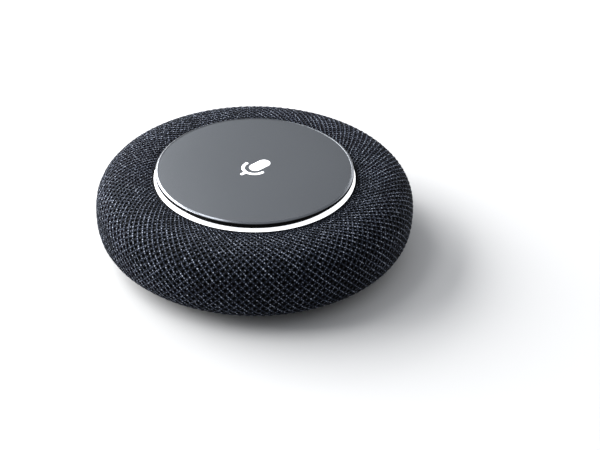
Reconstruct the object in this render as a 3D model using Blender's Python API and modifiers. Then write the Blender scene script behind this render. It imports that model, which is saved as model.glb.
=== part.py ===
"""Puck-shaped smart speaker with a knitted cover, a pressable top disc and a lit ring.

Metres, +Z up. The origin is the centre of the underside, on the surface it stands on.
The icon's foot points to -Y and the charging port faces +Y.
"""

import math

import bmesh
import bpy
from mathutils import Matrix, Vector

MM = 0.001

# Overall form
BODY_RADIUS = 50.0 * MM
BODY_HEIGHT = 27.0 * MM
WAIST_Z = 13.6 * MM  # where the body is widest
CREST_SETBACK = 3.4 * MM  # from the cover's inner edge out to its highest line
CREST_DROP = 2.3 * MM  # crest below the top of the disc
LIP_DIP = 0.5 * MM  # cover's inner edge below its crest
UPPER_POWER = 2.55  # superellipse powers of the two halves of the side
LOWER_POWER = 3.0
HEM_RADIUS = 32.0 * MM
HEM_Z = 1.2 * MM

# Walls and clearances
GAP = 0.3 * MM  # between neighbouring pieces
CHIP_GAP = 0.1 * MM  # between a board and what is soldered on it
FABRIC_WALL = 0.8 * MM
GRILLE_WALL = 1.8 * MM

# Top disc and light ring
DISC_RADIUS = 31.0 * MM
DISC_CHAMFER_OUT = 0.75 * MM
DISC_CHAMFER_DOWN = 0.45 * MM
DISC_WALL = 1.2 * MM
DISC_SKIRT = 1.2 * MM
DISC_HEIGHT = 1.5 * MM
PRESS_TRAVEL = 0.6 * MM
RING_TUCK = 1.5 * MM  # how far the light ring reaches under the disc
RING_SHOW = 0.8 * MM  # and past its edge
RING_TOP_DROP = 2.8 * MM  # ring's top below the top of the disc
RING_THICKNESS = 1.5 * MM
BAFFLE_WALL = 0.4 * MM

# Icon
CAPSULE_RADIUS = 2.0 * MM
CAPSULE_LENGTH = 7.6 * MM
ICON_STROKE = 1.0 * MM
ICON_LENGTH = 11.9 * MM
CRADLE_RADIUS = 3.6 * MM  # to the middle of the stroke
CRADLE_DROP = 0.4 * MM  # its centre below the capsule's lower one
ICON_GAP = 0.12 * MM

# Base
FOOT_INNER = 25.0 * MM
FOOT_OUTER = 30.0 * MM
FOOT_HEIGHT = 1.6 * MM
BASE_Z = 1.0 * MM
BASE_THICKNESS = 2.0 * MM
BASE_SCREW_CIRCLE = 20.0 * MM
SCREW_HEAD_RADIUS = 1.8 * MM
SCREW_HEAD_HEIGHT = 0.8 * MM
SCREW_SHANK_RADIUS = 0.85 * MM
SCREW_BITE = 4.0 * MM  # into a post under the driver
SCREW_COUNT = 4

# Inside
FLOOR_THICKNESS = 1.2 * MM
DRIVER_CONE_RADIUS = 15.6 * MM
DRIVER_FLANGE_RADIUS = 24.8 * MM
DRIVER_SCREW_CIRCLE = 22.7 * MM
COIL_RADIUS = 8.4 * MM
COIL_HEIGHT = 4.1 * MM
CONE_STROKE = 1.2 * MM
YOKE_WALL = 1.2 * MM
MAGNET_HEIGHT = 2.2 * MM
POLE_HEIGHT = 1.0 * MM
FLANGE_HEIGHT = 1.0 * MM
SURROUND_WIDTH = 4.0 * MM
SURROUND_WALL = 0.4 * MM
DUST_CAP_RISE = 1.6 * MM
DUST_CAP_WALL = 0.4 * MM
SPIDER_WAVE = 0.15 * MM
SPIDER_WALL = 0.2 * MM
SPIDER_WAVES = 5
BOARD_THICKNESS = 1.0 * MM
BOARD_INNER = 26.0 * MM
BOARD_RIB_HEIGHT = 1.0 * MM
LIGHT_BOARD_THICKNESS = 0.8 * MM
LAMP_SPACE = 0.7 * MM  # between the light board and the ring
CHASSIS_WALL = 1.4 * MM
DEFLECTOR_RADIUS = 20.0 * MM
CARRIER_WALL = 0.9 * MM
LED_COUNT = 6
MIC_COUNT = 3
SWITCH_COUNT = 3
SWITCH_CIRCLE = 18.0 * MM
GUIDE_RADIUS = 3.0 * MM

# Charging port
PORT_Z = 12.0 * MM
PORT_WIDTH = 13.0 * MM
PORT_HEIGHT = 7.0 * MM
PORT_DEPTH = 4.8 * MM
PORT_WALL = 1.2 * MM
PLUG_SHELL_WIDTH = 8.9 * MM
PLUG_SHELL_HEIGHT = 3.3 * MM
PLUG_SHELL_LENGTH = 7.3 * MM
PLUG_SHELL_WALL = 0.3 * MM

# Sound slots in the grille
SLOT_COUNT = 24
SLOT_WIDTH = 3.0 * MM
SLOT_HEIGHT = 7.0 * MM

OUTER_STEPS = 60
HIDDEN_STEPS = 40
COVER_POINTS = 13  # along the layers of the side wall, from disc to hem
GRILLE_POINTS = 9
INNER_STEPS = 28
SMALL_STEPS = 10
MERGE = 0.00001

# Levels worked out from the sizes above
RING_INNER = DISC_RADIUS - RING_TUCK
RING_OUTER = DISC_RADIUS + RING_SHOW
CREST_Z = BODY_HEIGHT - CREST_DROP
LIP_RADIUS = RING_OUTER + GAP
CREST_RADIUS = LIP_RADIUS + CREST_SETBACK
GRILLE_DEPTH = FABRIC_WALL + GAP
INNER_DEPTH = GRILLE_DEPTH + GRILLE_WALL
RING_TOP = BODY_HEIGHT - RING_TOP_DROP
RING_BOTTOM = RING_TOP - RING_THICKNESS
BOARD_TOP = RING_BOTTOM - LAMP_SPACE
BOARD_BOTTOM = BOARD_TOP - LIGHT_BOARD_THICKNESS
CHASSIS_TOP = BOARD_BOTTOM - GAP
CHASSIS_BOTTOM = CHASSIS_TOP - CHASSIS_WALL
DISC_BOTTOM = BODY_HEIGHT - DISC_HEIGHT
CARRIER_TOP = BODY_HEIGHT - DISC_WALL - GAP
CARRIER_BOTTOM = CARRIER_TOP - CARRIER_WALL
HOUSING_BOTTOM = BASE_Z + BASE_THICKNESS + GAP
FLOOR_BOTTOM = HEM_Z + INNER_DEPTH + GAP
FLOOR_TOP = FLOOR_BOTTOM + FLOOR_THICKNESS
DRIVER_Z = FLOOR_TOP + GAP + CHIP_GAP
BOARD_Z = FLOOR_TOP + BOARD_RIB_HEIGHT
PORT_FACE = BODY_RADIUS
PORT_BACK = PORT_FACE - PORT_DEPTH - PORT_WALL


def superellipse(start, end, power, count, falling):
    """Points of a quarter superellipse between two (r, z) points, square to the axis at the flat end."""
    points = []
    for step in range(count + 1):
        angle = step / count * math.pi / 2
        if not falling:
            angle = math.pi / 2 - angle
        across = math.cos(angle) ** (2 / power)
        along = math.sin(angle) ** (2 / power)
        flat, wide = (end, start) if falling else (start, end)
        points.append((flat[0] + (wide[0] - flat[0]) * across, wide[1] + (flat[1] - wide[1]) * along))
    return points


def outer_form(count=160):
    """(r, z) points of the cover's outer face, from its edge at the ring, over the side, to the hem."""
    crest = (CREST_RADIUS, CREST_Z)
    waist = (BODY_RADIUS, WAIST_Z)
    hem = (HEM_RADIUS, HEM_Z)
    dip = []
    for step in range(count // 4):
        part = step / (count // 4)
        fall = LIP_DIP * (1 - part) ** 2
        dip.append((LIP_RADIUS + (CREST_RADIUS - LIP_RADIUS) * part, CREST_Z - fall))
    upper = superellipse(crest, waist, UPPER_POWER, count, falling=False)
    lower = superellipse(waist, hem, LOWER_POWER, count, falling=True)
    return dip + upper + lower[1:]


def pushed_in(points, depth):
    """The same line moved inwards by depth, square to itself; its two ends move straight up or down."""
    moved = []
    last = len(points) - 1
    for index, (r, z) in enumerate(points):
        before = points[max(index - 1, 0)]
        after = points[min(index + 1, last)]
        run = after[0] - before[0]
        rise = after[1] - before[1]
        length = math.hypot(run, rise)
        if index in (0, last):
            moved.append((r, z - math.copysign(depth, run)))
        else:
            moved.append((r + rise / length * depth, z - run / length * depth))
    return moved


def thinned(points, count):
    """Count points of a line, its ends among them, closest together where it turns most."""
    weights = [0.0]
    heading = None
    for before, point in zip(points, points[1:]):
        run = point[0] - before[0]
        rise = point[1] - before[1]
        last_heading = heading
        heading = math.atan2(rise, run)
        turn = 0.0 if last_heading is None else abs(math.remainder(heading - last_heading, 2 * math.pi))
        weights.append(weights[-1] + math.hypot(run, rise) / BODY_RADIUS + turn)
    kept = []
    for step in range(count):
        wanted = weights[-1] * step / (count - 1)
        kept.append(min(range(len(points)), key=lambda place: abs(weights[place] - wanted)))
    widest = max(range(len(points)), key=lambda place: points[place][0])
    nearest = min(range(count), key=lambda place: abs(kept[place] - widest))
    kept[nearest] = widest
    return [points[place] for place in kept]


def skin(outer_depth, inner_depth, outer_count, inner_count):
    """Closed outline of a layer of the side wall, between two depths under the cover's outer face."""
    form = outer_form()
    outer = thinned(pushed_in(form, outer_depth), outer_count)
    inner = thinned(pushed_in(form, inner_depth), inner_count)
    return outer + inner[::-1]


def room_at(z):
    """Radius inside the grille's inner face at a height, kept a little clear of it."""
    face = thinned(pushed_in(outer_form(), INNER_DEPTH), GRILLE_POINTS)
    for (r_above, z_above), (r_below, z_below) in zip(face, face[1:]):
        on_upper_side = z > WAIST_Z and r_above < r_below
        on_lower_side = z <= WAIST_Z and r_above > r_below
        if (on_upper_side or on_lower_side) and z_below <= z <= z_above:
            share = (z_above - z) / (z_above - z_below)
            return r_above + (r_below - r_above) * share - 3 * GAP
    return CREST_RADIUS


def material(name, colour, roughness, metallic=0.0):
    made = bpy.data.materials.new(name)
    made.use_nodes = True
    shader = made.node_tree.nodes["Principled BSDF"]
    shader.inputs["Base Color"].default_value = (*colour, 1.0)
    shader.inputs["Roughness"].default_value = roughness
    shader.inputs["Metallic"].default_value = metallic
    made.diffuse_color = (*colour, 1.0)
    return made


def collection(name):
    found = bpy.data.collections.get(name)
    if found is None:
        found = bpy.data.collections.new(name)
        bpy.context.scene.collection.children.link(found)
    return found


def add(name, mesh, finish=None):
    """Puts a mesh in the scene as a part, or as a cutter where it has no finish."""
    made = bpy.data.objects.new(name, mesh)
    collection("smart_speaker" if finish else "cutters").objects.link(made)
    if finish:
        mesh.materials.append(finish)
    else:
        made.hide_render = True
        made.display_type = "WIRE"
    return made


def turned(name, outline, finish, steps=INNER_STEPS, closed=True):
    """A turned shape: a closed outline gives a ring, an open one runs from the axis to the axis."""
    mesh = bpy.data.meshes.new(name)
    edges = [(index, index + 1) for index in range(len(outline) - 1)]
    if closed:
        edges.append((len(outline) - 1, 0))
    mesh.from_pydata([(r, 0.0, z) for r, z in outline], edges, [])
    made = add(name, mesh, finish)
    screw = made.modifiers.new("turn", "SCREW")
    screw.axis = "Z"
    screw.steps = steps
    screw.render_steps = steps
    screw.use_merge_vertices = True
    screw.merge_threshold = MERGE
    screw.use_smooth_shade = True
    return made


def ring(name, inner, outer, bottom, top, finish, steps=INNER_STEPS):
    outline = [(outer, top), (outer, bottom), (inner, bottom), (inner, top)]
    return turned(name, outline, finish, steps)


def rod(name, radius, bottom, top, finish, steps=SMALL_STEPS):
    outline = [(0.0, top), (radius, top), (radius, bottom), (0.0, bottom)]
    return turned(name, outline, finish, steps, closed=False)


def block(name, size, centre, finish=None, angle=0.0, bevel=0.0):
    """A box with its scale in its mesh, turned about Z by an angle."""
    mesh = bpy.data.meshes.new(name)
    shape = bmesh.new()
    bmesh.ops.create_cube(shape, size=1.0, matrix=Matrix.Diagonal((*size, 1.0)))
    shape.to_mesh(mesh)
    shape.free()
    made = add(name, mesh, finish)
    made.location = centre
    made.rotation_euler.z = angle
    if bevel:
        rounding = made.modifiers.new("edges", "BEVEL")
        rounding.width = bevel
        rounding.segments = 1
    return made


def slab(name, outlines, thickness, finish=None):
    """Flat outlines in XY, the inner ones holes, given a thickness centred on Z = 0."""
    curve = bpy.data.curves.new(name, "CURVE")
    curve.dimensions = "2D"
    curve.fill_mode = "BOTH"
    curve.extrude = thickness / 2
    for outline in outlines:
        spline = curve.splines.new("POLY")
        spline.points.add(len(outline) - 1)
        for point, (x, y) in zip(spline.points, outline):
            point.co = (x, y, 0.0, 1.0)
        spline.use_cyclic_u = True
    drawn = bpy.data.objects.new(name + "_outline", curve)
    collection("cutters").objects.link(drawn)
    graph = bpy.context.evaluated_depsgraph_get()
    mesh = bpy.data.meshes.new_from_object(drawn.evaluated_get(graph))
    bpy.data.objects.remove(drawn)
    shape = bmesh.new()
    shape.from_mesh(mesh)
    bmesh.ops.remove_doubles(shape, verts=shape.verts, dist=MERGE)
    bmesh.ops.recalc_face_normals(shape, faces=shape.faces)
    shape.to_mesh(mesh)
    shape.free()
    mesh.name = name
    mesh.materials.clear()
    return add(name, mesh, finish)


def arc(radius, start, end, count, centre=(0.0, 0.0)):
    """Points along a circle's arc, both ends among them, in degrees."""
    points = []
    for step in range(count + 1):
        angle = math.radians(start + (end - start) * step / count)
        points.append((centre[0] + radius * math.cos(angle), centre[1] + radius * math.sin(angle)))
    return points


def stadium(width, height, count=8):
    """A slot outline, as wide as it is said, with half-round ends."""
    reach = (width - height) / 2
    right = arc(height / 2, -90, 90, count, (reach, 0.0))
    left = arc(height / 2, 90, 270, count, (-reach, 0.0))
    return right + left


def standing(part, centre):
    """Stands a flat slab up to face +Y, with its middle at the centre."""
    part.rotation_euler.x = math.pi / 2
    part.location = centre


def cut(part, cutter, operation="DIFFERENCE"):
    boolean = part.modifiers.new(cutter.name, "BOOLEAN")
    boolean.operation = operation
    boolean.object = cutter
    boolean.solver = "EXACT"


def around(count, first=0.0):
    """Evenly spaced angles round the axis, in radians, from the first, which is in degrees."""
    return [math.radians(first + 360.0 * step / count) for step in range(count)]


def at(radius, angle, z=0.0):
    return Vector((radius * math.cos(angle), radius * math.sin(angle), z))


def clear_scene():
    for item in list(bpy.data.objects):
        bpy.data.objects.remove(item)


def port_tunnel():
    """Cutter for the way that the port's bezel takes through the side wall."""
    width = PORT_WIDTH + 2 * (PORT_WALL + GAP)
    height = PORT_HEIGHT + 2 * (PORT_WALL + GAP)
    length = PORT_DEPTH + PORT_WALL + 6.0 * MM
    tunnel = slab("port_tunnel", [stadium(width, height)], length)
    standing(tunnel, (0.0, PORT_FACE - length / 2 + 3.0 * MM, PORT_Z))
    return tunnel


def side_wall(finishes):
    """The knitted cover and, under it, the slotted grille that gives it its form."""
    tunnel = port_tunnel()
    outline = skin(0.0, FABRIC_WALL, COVER_POINTS, GRILLE_POINTS)
    cover = turned("fabric_cover", outline, finishes["fabric"], OUTER_STEPS)
    cut(cover, tunnel)
    outline = skin(GRILLE_DEPTH, INNER_DEPTH, GRILLE_POINTS, GRILLE_POINTS)
    grille = turned("grille_shell", outline, finishes["black"], HIDDEN_STEPS)
    cut(grille, tunnel)
    reach = 2 * (INNER_DEPTH + 3.0 * MM)
    slots = bmesh.new()
    for angle in around(SLOT_COUNT, 90.0 + 180.0 / SLOT_COUNT):
        if abs(math.remainder(angle - math.pi / 2, 2 * math.pi)) < math.radians(15):
            continue  # the port is here
        place = Matrix.Translation(at(BODY_RADIUS, angle, WAIST_Z)) @ Matrix.Rotation(angle, 4, "Z")
        size = Matrix.Diagonal((reach, SLOT_WIDTH, SLOT_HEIGHT, 1.0))
        bmesh.ops.create_cube(slots, size=1.0, matrix=place @ size)
    mesh = bpy.data.meshes.new("sound_slots")
    slots.to_mesh(mesh)
    slots.free()
    cut(grille, add("sound_slots", mesh))


def base(finishes):
    """Foot, bottom cover and the screws that hold it to the housing."""
    foot = [
        (FOOT_OUTER, FOOT_HEIGHT), (FOOT_OUTER, GAP), (FOOT_OUTER - GAP, 0.0),
        (FOOT_INNER + GAP, 0.0), (FOOT_INNER, GAP), (FOOT_INNER, FOOT_HEIGHT),
    ]
    turned("foot_ring", foot, finishes["silicone"], HIDDEN_STEPS)
    edge = HEM_RADIUS - GAP
    roof = FOOT_HEIGHT + GAP
    top = BASE_Z + BASE_THICKNESS
    outline = [
        (0.0, top), (edge, top), (edge, BASE_Z + GAP), (edge - GAP, BASE_Z),
        (FOOT_OUTER + GAP, BASE_Z), (FOOT_OUTER + GAP, roof),
        (FOOT_INNER - GAP, roof), (FOOT_INNER - GAP, BASE_Z), (0.0, BASE_Z),
    ]
    cover = turned("base_cover", outline, finishes["black"], HIDDEN_STEPS, closed=False)
    for number, angle in enumerate(around(SCREW_COUNT, 45.0), 1):
        head_top = BASE_Z + 2 * GAP + SCREW_HEAD_HEIGHT
        spot = at(BASE_SCREW_CIRCLE, angle)
        for label, radius, low, high in (
            ("seat", SCREW_HEAD_RADIUS, BASE_Z - 1.0 * MM, head_top),
            ("bore", SCREW_SHANK_RADIUS, head_top - 0.5 * MM, top + 1.0 * MM),
        ):
            hole = rod(f"base_{label}_{number}", radius + GAP, low, high, None)
            hole.location = spot
            cut(cover, hole)
        screw("base_screw", number, spot, head_top - GAP, FLOOR_BOTTOM, up=False, finishes=finishes)


def screw(name, number, spot, head, tip, up, finishes):
    """A machine screw: head is the face its head bears with, tip the shank's end."""
    height = SCREW_HEAD_HEIGHT if up else -SCREW_HEAD_HEIGHT
    socket = 0.45 * height
    outline = [
        (0.0, head + height - socket), (0.6 * MM, head + height - socket), (0.6 * MM, head + height),
        (SCREW_HEAD_RADIUS, head + height), (SCREW_HEAD_RADIUS, head),
        (SCREW_SHANK_RADIUS, head), (SCREW_SHANK_RADIUS, tip), (0.0, tip),
    ]
    if not up:
        outline.reverse()
    made = turned(f"{name}_{number}", outline, finishes["steel"], SMALL_STEPS, closed=False)
    made.location = spot


def housing(finishes):
    """The lower housing: floor, board ribs and the four posts that carry the driver."""
    outer = room_at(FLOOR_BOTTOM)
    plug = HEM_RADIUS - GAP
    rib = BOARD_Z - CHIP_GAP
    outline = [
        (0.0, FLOOR_TOP), (BOARD_INNER + 0.5 * MM, FLOOR_TOP), (BOARD_INNER + 0.5 * MM, rib),
        (BOARD_INNER + 1.5 * MM, rib), (BOARD_INNER + 1.5 * MM, FLOOR_TOP),
        (outer - 1.2 * MM, FLOOR_TOP), (outer - 1.2 * MM, rib), (outer, rib), (outer, FLOOR_BOTTOM),
        (plug, FLOOR_BOTTOM), (plug, HOUSING_BOTTOM), (0.0, HOUSING_BOTTOM),
    ]
    shell = turned("lower_housing", outline, finishes["black"], INNER_STEPS, closed=False)
    flange = driver_levels()["flange_bottom"]
    for number, angle in enumerate(around(SCREW_COUNT), 1):
        post = rod(f"post_{number}", SCREW_SHANK_RADIUS + 1.2 * MM, FLOOR_TOP - 0.5 * MM, flange - GAP, None)
        post.location = at(DRIVER_SCREW_CIRCLE, angle)
        cut(shell, post, "UNION")
        bore = rod(
            f"post_bore_{number}", SCREW_SHANK_RADIUS + GAP,
            flange - SCREW_BITE - 1.0 * MM, flange + 1.0 * MM, None,
        )
        bore.location = post.location
        cut(shell, bore)
    for number, angle in enumerate(around(SCREW_COUNT, 45.0), 1):
        bore = rod(
            f"housing_bore_{number}", SCREW_SHANK_RADIUS + GAP,
            HOUSING_BOTTOM - 1.0 * MM, FLOOR_BOTTOM + GAP, None,
        )
        bore.location = at(BASE_SCREW_CIRCLE, angle)
        cut(shell, bore)


def driver_levels():
    """Heights inside the driver, stacked up from the yoke's underside."""
    yoke_top = DRIVER_Z + YOKE_WALL
    magnet_top = yoke_top + GAP + MAGNET_HEIGHT
    coil_bottom = yoke_top + CONE_STROKE + 0.8 * MM
    coil_top = coil_bottom + COIL_HEIGHT
    spider = coil_top - 1.0 * MM
    flange_top = coil_top + 2.1 * MM
    return {
        "yoke_top": yoke_top,
        "magnet_top": magnet_top,
        "pole_top": magnet_top + GAP + POLE_HEIGHT,
        "coil_bottom": coil_bottom,
        "coil_top": coil_top,
        "spider": spider,
        "ledge": spider - SPIDER_WAVE - SPIDER_WALL - GAP,
        "neck": coil_top - GAP,
        "flange_top": flange_top,
        "flange_bottom": flange_top - FLANGE_HEIGHT,
    }


def driver_motor(finishes):
    """Yoke cup, magnet and pole plate, which stand still."""
    level = driver_levels()
    inner = COIL_RADIUS + 1.0 * MM
    outer = inner + YOKE_WALL
    yoke = [
        (0.0, level["yoke_top"]), (inner, level["yoke_top"]), (inner, level["pole_top"]),
        (outer, level["pole_top"]), (outer, DRIVER_Z), (0.0, DRIVER_Z),
    ]
    turned("driver_yoke", yoke, finishes["steel"], INNER_STEPS, closed=False)
    pole = COIL_RADIUS - 0.8 * MM
    bottom = level["yoke_top"] + GAP
    rod("driver_magnet", pole - 0.2 * MM, bottom, level["magnet_top"], finishes["magnet"], 24)
    rod("pole_plate", pole, level["magnet_top"] + GAP, level["pole_top"], finishes["steel"], 24)
    return outer


def driver_frame(motor_radius, finishes):
    """The basket with its windows, and the screws that hold it down."""
    level = driver_levels()
    seat = motor_radius + GAP
    ledge = level["ledge"]
    rim = DRIVER_CONE_RADIUS + 2.0 * MM
    low = level["pole_top"] - 1.2 * MM
    outline = [
        (DRIVER_FLANGE_RADIUS, level["flange_top"]), (DRIVER_FLANGE_RADIUS, level["flange_bottom"]),
        (rim + 1.0 * MM, level["flange_bottom"]), (seat + 4.1 * MM, ledge - 0.8 * MM),
        (seat + 1.1 * MM, ledge - 0.8 * MM), (seat + 1.1 * MM, low), (seat, low), (seat, ledge),
        (seat + 3.5 * MM, ledge), (rim, level["flange_top"] - 0.4 * MM), (rim, level["flange_top"]),
    ]
    basket = turned("driver_basket", outline, finishes["steel"])
    for number, angle in enumerate(around(SCREW_COUNT, 45.0), 1):
        middle = (ledge + level["flange_bottom"]) / 2
        window = block(
            f"basket_window_{number}", (6.0 * MM, 9.0 * MM, 1.6 * MM),
            at(seat + 5.2 * MM, angle, middle), angle=angle,
        )
        cut(basket, window)
    for number, angle in enumerate(around(SCREW_COUNT), 1):
        hole = rod(
            f"basket_hole_{number}", SCREW_SHANK_RADIUS + GAP,
            level["flange_bottom"] - 1.0 * MM, level["flange_top"] + 1.0 * MM, None,
        )
        hole.location = at(DRIVER_SCREW_CIRCLE, angle)
        cut(basket, hole)
        screw(
            "driver_screw", number, hole.location, level["flange_top"] + GAP,
            level["flange_bottom"] - SCREW_BITE, up=True, finishes=finishes,
        )


def driver_diaphragm(motor_radius, finishes):
    """Cone, dust cap and voice coil, with the surround and spider that hold them."""
    level = driver_levels()
    neck = COIL_RADIUS + 0.7 * MM
    cone = [
        (DRIVER_CONE_RADIUS, level["flange_top"]), (DRIVER_CONE_RADIUS, level["flange_top"] - 0.5 * MM),
        (neck, level["neck"]), (neck, level["neck"] + 0.5 * MM),
    ]
    turned("driver_cone", cone, finishes["paper"])
    ring(
        "voice_coil", COIL_RADIUS - GAP, COIL_RADIUS + GAP,
        level["coil_bottom"], level["coil_top"], finishes["copper"],
    )
    rest = level["coil_top"] + GAP
    top = [(neck * share, rest + DUST_CAP_RISE * (1 - share**2)) for share in (0.0, 0.35, 0.65, 0.95)]
    under = [(r, max(z - DUST_CAP_WALL, rest)) for r, z in reversed(top)]
    turned("dust_cap", top + under, finishes["paper"], closed=False)
    inner = DRIVER_CONE_RADIUS + GAP
    outer = inner + SURROUND_WIDTH
    base_z = level["flange_top"] + GAP
    middle = ((inner + outer) / 2, base_z)
    roll = arc(SURROUND_WIDTH / 2, 0, 180, 5, middle)
    lining = arc(SURROUND_WIDTH / 2 - SURROUND_WALL, 0, 180, 5, middle)
    turned("cone_surround", roll[::-1] + lining, finishes["silicone"])
    ring(
        "surround_clamp", outer + GAP, outer + 1.0 * MM,
        base_z, base_z + 0.6 * MM, finishes["black"],
    )
    waves = []
    spider_inner = neck
    spider_outer = motor_radius + GAP + 3.2 * MM
    for step in range(SPIDER_WAVES + 1):
        share = step / SPIDER_WAVES
        lift = SPIDER_WAVE * (-1) ** step
        waves.append((spider_inner + (spider_outer - spider_inner) * share, level["spider"] + lift))
    under = [(r, z - SPIDER_WALL) for r, z in waves]
    turned("cone_spider", waves + under[::-1], finishes["fabric"])


def main_board(finishes):
    """The ring-shaped board round the driver and the parts soldered on it."""
    outer = room_at(BOARD_Z) - 2.0 * MM
    board = slab(
        "main_board", [arc(outer, 0, 350, 35), arc(BOARD_INNER, 0, 350, 35)],
        BOARD_THICKNESS, finishes["board"],
    )
    board.location.z = BOARD_Z + BOARD_THICKNESS / 2
    top = BOARD_Z + BOARD_THICKNESS + CHIP_GAP
    middle = (BOARD_INNER + outer) / 2
    for name, size, angle, finish in (
        ("processor_shield", (12.0, 13.0, 1.8), 200, "steel"),
        ("radio_module", (10.0, 12.0, 1.6), 240, "steel"),
        ("amplifier_chip", (6.0, 6.0, 0.9), 325, "chip"),
        ("memory_chip", (8.0, 9.0, 0.9), 165, "chip"),
        ("driver_connector", (4.0, 6.0, 3.0), 350, "white"),
    ):
        turn = math.radians(angle)
        size = [side * MM for side in size]
        block(name, size, at(middle, turn, top + size[2] / 2), finishes[finish], turn, 0.2 * MM)
    coil = rod("power_inductor", 3.5 * MM, top, top + 3.5 * MM, finishes["ferrite"], 16)
    coil.location = at(middle, math.radians(40))
    can = rod("capacitor", 2.5 * MM, top, top + 4.5 * MM, finishes["steel"], 16)
    can.location = at(middle, math.radians(15))


def port(finishes):
    """The charging port: bezel in the side wall, metal shell, tongue and its small board."""
    bezel_length = PORT_DEPTH + PORT_WALL
    rim = stadium(PORT_WIDTH + 2 * PORT_WALL, PORT_HEIGHT + 2 * PORT_WALL)
    bezel = slab("port_bezel", [rim], bezel_length, finishes["black"])
    standing(bezel, (0.0, PORT_FACE - bezel_length / 2, PORT_Z))
    lead_in = bezel.modifiers.new("edges", "BEVEL")
    lead_in.width = 0.25 * MM
    lead_in.segments = 1
    lead_in.limit_method = "ANGLE"
    lead_in.angle_limit = math.radians(60)
    recess = slab("port_recess", [stadium(PORT_WIDTH, PORT_HEIGHT)], PORT_DEPTH * 2)
    standing(recess, (0.0, PORT_FACE, PORT_Z))
    cut(bezel, recess)
    mouth = stadium(PLUG_SHELL_WIDTH + 2 * GAP, PLUG_SHELL_HEIGHT + 2 * GAP)
    opening = slab("port_opening", [mouth], PORT_WALL * 4)
    standing(opening, (0.0, PORT_BACK, PORT_Z))
    cut(bezel, opening)

    shell_front = PORT_BACK + PORT_WALL - GAP
    shell = slab(
        "usb_receptacle", [stadium(PLUG_SHELL_WIDTH, PLUG_SHELL_HEIGHT)],
        PLUG_SHELL_LENGTH, finishes["steel"],
    )
    standing(shell, (0.0, shell_front - PLUG_SHELL_LENGTH / 2, PORT_Z))
    inside = stadium(PLUG_SHELL_WIDTH - 2 * PLUG_SHELL_WALL, PLUG_SHELL_HEIGHT - 2 * PLUG_SHELL_WALL)
    hollow = slab("receptacle_hollow", [inside], PLUG_SHELL_LENGTH * 2)
    standing(hollow, (0.0, shell_front + PLUG_SHELL_WALL, PORT_Z))
    cut(shell, hollow)
    tongue_length = PLUG_SHELL_LENGTH - 1.5 * MM
    block(
        "usb_tongue", (PLUG_SHELL_WIDTH - 2.3 * MM, tongue_length, 0.7 * MM),
        (0.0, shell_front - PLUG_SHELL_LENGTH + PLUG_SHELL_WALL + GAP + tongue_length / 2, PORT_Z),
        finishes["chip"], bevel=0.1 * MM,
    )
    board_top = PORT_Z - PLUG_SHELL_HEIGHT / 2 - CHIP_GAP
    length = 12.0 * MM
    block(
        "port_board", (16.0 * MM, length, 0.8 * MM),
        (0.0, PORT_BACK - GAP - length / 2, board_top - 0.4 * MM), finishes["board"],
    )


def top_chassis(finishes):
    """Plate under the disc, the deflector below it, and the light board with what is on it."""
    guide = GUIDE_RADIUS + GAP
    outer = room_at(CHASSIS_TOP) - 1.0 * MM
    step = LIP_RADIUS + 2.0 * MM
    plate = [
        (step, CHASSIS_TOP), (outer, CHASSIS_TOP - 0.6 * MM), (outer, CHASSIS_BOTTOM),
        (guide, CHASSIS_BOTTOM), (guide, CHASSIS_TOP),
    ]
    turned("top_chassis", plate, finishes["black"])
    deflector_top = CHASSIS_BOTTOM - GAP
    deflector = [
        (0.0, deflector_top), (DEFLECTOR_RADIUS, deflector_top),
        (DEFLECTOR_RADIUS, deflector_top - 0.6 * MM),
        (DEFLECTOR_RADIUS * 0.45, deflector_top - 1.1 * MM), (0.0, deflector_top - 1.6 * MM),
    ]
    turned("sound_deflector", deflector, finishes["black"], closed=False)
    edge = LIP_RADIUS - 0.5 * MM
    ring("light_board", guide, edge, BOARD_BOTTOM, BOARD_TOP, finishes["board"])
    seat = BOARD_TOP + CHIP_GAP
    middle = (RING_INNER + RING_OUTER) / 2 - 0.1 * MM
    for number, angle in enumerate(around(LED_COUNT), 1):
        size = (1.6 * MM, 1.6 * MM, 0.4 * MM)
        block(f"led_{number}", size, at(middle, angle, seat + size[2] / 2), finishes["white"], angle)
    for number, angle in enumerate(around(MIC_COUNT, 30.0), 1):
        size = (3.0 * MM, 4.0 * MM, 1.0 * MM)
        place = at(RING_INNER - 4.5 * MM, angle, seat + size[2] / 2)
        block(f"microphone_{number}", size, place, finishes["steel"], angle)
    icon_lamp = (2.0 * MM, 2.0 * MM, 0.5 * MM)
    block("icon_led", icon_lamp, (0.0, 6.0 * MM, seat + icon_lamp[2] / 2), finishes["white"])


def lit_ring(finishes):
    """The milky ring that shows as a line of light, and the dark baffle inside it."""
    round_off = 0.2 * MM
    outline = [
        (RING_OUTER - round_off, RING_TOP), (RING_OUTER, RING_TOP - round_off), (RING_OUTER, RING_BOTTOM),
        (RING_INNER, RING_BOTTOM), (RING_INNER, RING_TOP),
    ]
    turned("light_ring", outline, finishes["milky"], OUTER_STEPS)
    baffle_outer = RING_INNER - GAP
    ring(
        "light_baffle", baffle_outer - BAFFLE_WALL, baffle_outer,
        BOARD_TOP + GAP, RING_TOP - 0.2 * MM, finishes["black"], HIDDEN_STEPS,
    )


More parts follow.
